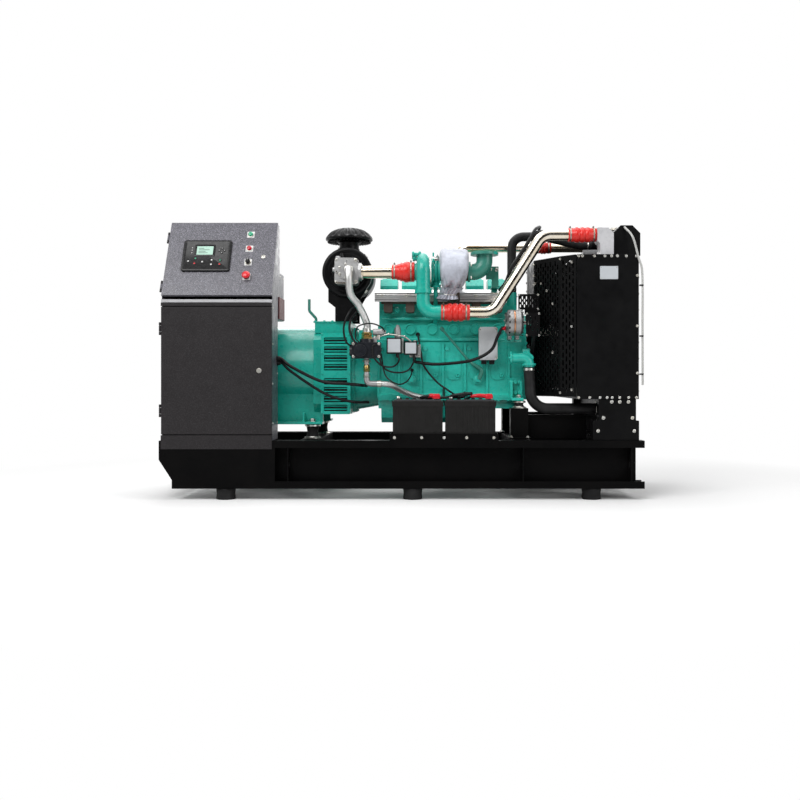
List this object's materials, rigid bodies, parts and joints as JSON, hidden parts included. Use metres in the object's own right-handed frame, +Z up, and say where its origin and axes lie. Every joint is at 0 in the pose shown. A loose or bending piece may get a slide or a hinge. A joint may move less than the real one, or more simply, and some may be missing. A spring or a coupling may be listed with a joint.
{
  "type": "gas engine generating set",
  "caption": "Open-skid gas engine generating set with a turbocharged in-line engine, alternator, control cabinet with sloping console, batteries, charge-air pipes and an end radiator.",
  "frame": {"origin": "on the ground under the middle of the skid", "axes": "+X along the skid from the control cabinet to the radiator, +Z up, -Y towards the side with the control panel"},
  "size_m": [2.68, 1, 1.565],
  "materials": {
    "skid_black": "satin",
    "foot_rubber": "matt",
    "battery_black": "matt",
    "cabinet_graphite": "textured",
    "controller_black": "satin",
    "lamp_mixed": "gloss",
    "signal_red": "gloss",
    "device_black": "satin",
    "breaker_plastic": "matt",
    "engine_green": "gloss",
    "dark_green": "gloss",
    "mount_black": "matt",
    "manifold_iron": "rough",
    "shield_steel": "satin",
    "belt_black": "matt",
    "fan_black": "satin",
    "cast_aluminium": "cast",
    "module_grey": "satin",
    "blanket_cloth": "woven",
    "polished_steel": "polished",
    "hose_red": "satin",
    "clamp_steel": "satin",
    "cleaner_black": "satin",
    "valve_dark": "satin",
    "braid_steel": "braided",
    "radiator_black": "satin",
    "core_black": "matt",
    "duct_white": "satin",
    "coolant_rubber": "matt",
    "tube_clear": "satin",
    "cable_black": "matt"
  },
  "bodies": {
    "genset": {"near_rail": "skid_black", "far_rail": "skid_black", "end_plates": "skid_black", "skid_cross_members": "skid_black", "engine_posts": "skid_black", "skid_feet": "foot_rubber", "battery_tray": "skid_black", "batteries": "battery_black", "cabinet_shell": "cabinet_graphite", "cabinet_frame": "cabinet_graphite", "circuit_breaker": "breaker_plastic", "alternator_frame": "engine_green", "alternator_louvers": "engine_green", "terminal_box": "engine_green", "vibration_mounts": "mount_black", "flywheel_housing": "engine_green", "engine_block": "engine_green", "engine_brackets": "engine_green", "oil_pan": "engine_green", "cylinder_head": "engine_green", "rocker_covers": "engine_green", "exhaust_manifold": "manifold_iron", "manifold_shield": "shield_steel", "intake_manifold": "engine_green", "gear_cover": "engine_green", "belt_drive": "belt_black", "belt_guard": "engine_green", "cooling_fan": "fan_black", "charging_alternator": "cast_aluminium", "control_module": "module_grey", "dipstick_tube": "dark_green", "turbocharger": "engine_green", "turbine_blanket": "blanket_cloth", "exhaust_elbow": "dark_green", "charge_pipes": "polished_steel", "silicone_hoses": "hose_red", "hose_clamps": "clamp_steel", "air_cleaner": "cleaner_black", "air_cleaner_bracket": "skid_black", "gas_mixer": "cast_aluminium", "gas_valve_train": "valve_dark", "gas_hoses": "braid_steel", "radiator_frame": "radiator_black", "radiator_core": "core_black", "radiator_top_tank": "radiator_black", "charge_cooler_headers": "duct_white", "radiator_stands": "radiator_black", "fan_guard": "radiator_black", "coolant_hoses": "coolant_rubber", "overflow_tube": "tube_clear", "starter_and_filter": "device_black", "engine_cables": "cable_black"},
    "lower_door": {"cabinet_door": "cabinet_graphite"},
    "console": {"console_door": "cabinet_graphite", "controller": "controller_black", "panel_lamps": "lamp_mixed"},
    "stop_button": {"estop_button": "signal_red"},
    "selector": {"selector_knob": "device_black"}
  },
  "joints": [
    {"name": "lower_door_hinge", "type": "hinge", "parent": "genset", "child": "lower_door", "pos_m": [-1.334, -0.486, 0.7], "axis": [0, 0, -1], "range_deg": [0, 105]},
    {"name": "console_hinge", "type": "hinge", "parent": "genset", "child": "console", "pos_m": [-1.334, -0.3816, 1.3422], "axis": [0, -0.4384, -0.8988], "range_deg": [0, 100]},
    {"name": "stop_push", "type": "slide", "parent": "console", "child": "stop_button", "axis": [0, 0.8988, -0.4384], "range_m": [0, 0.004]},
    {"name": "selector_turn", "type": "hinge", "parent": "console", "child": "selector", "pos_m": [-0.86472, -0.40043, 1.32184], "axis": [0, -0.8988, 0.4384], "range_deg": [-45, 45]}
  ]
}
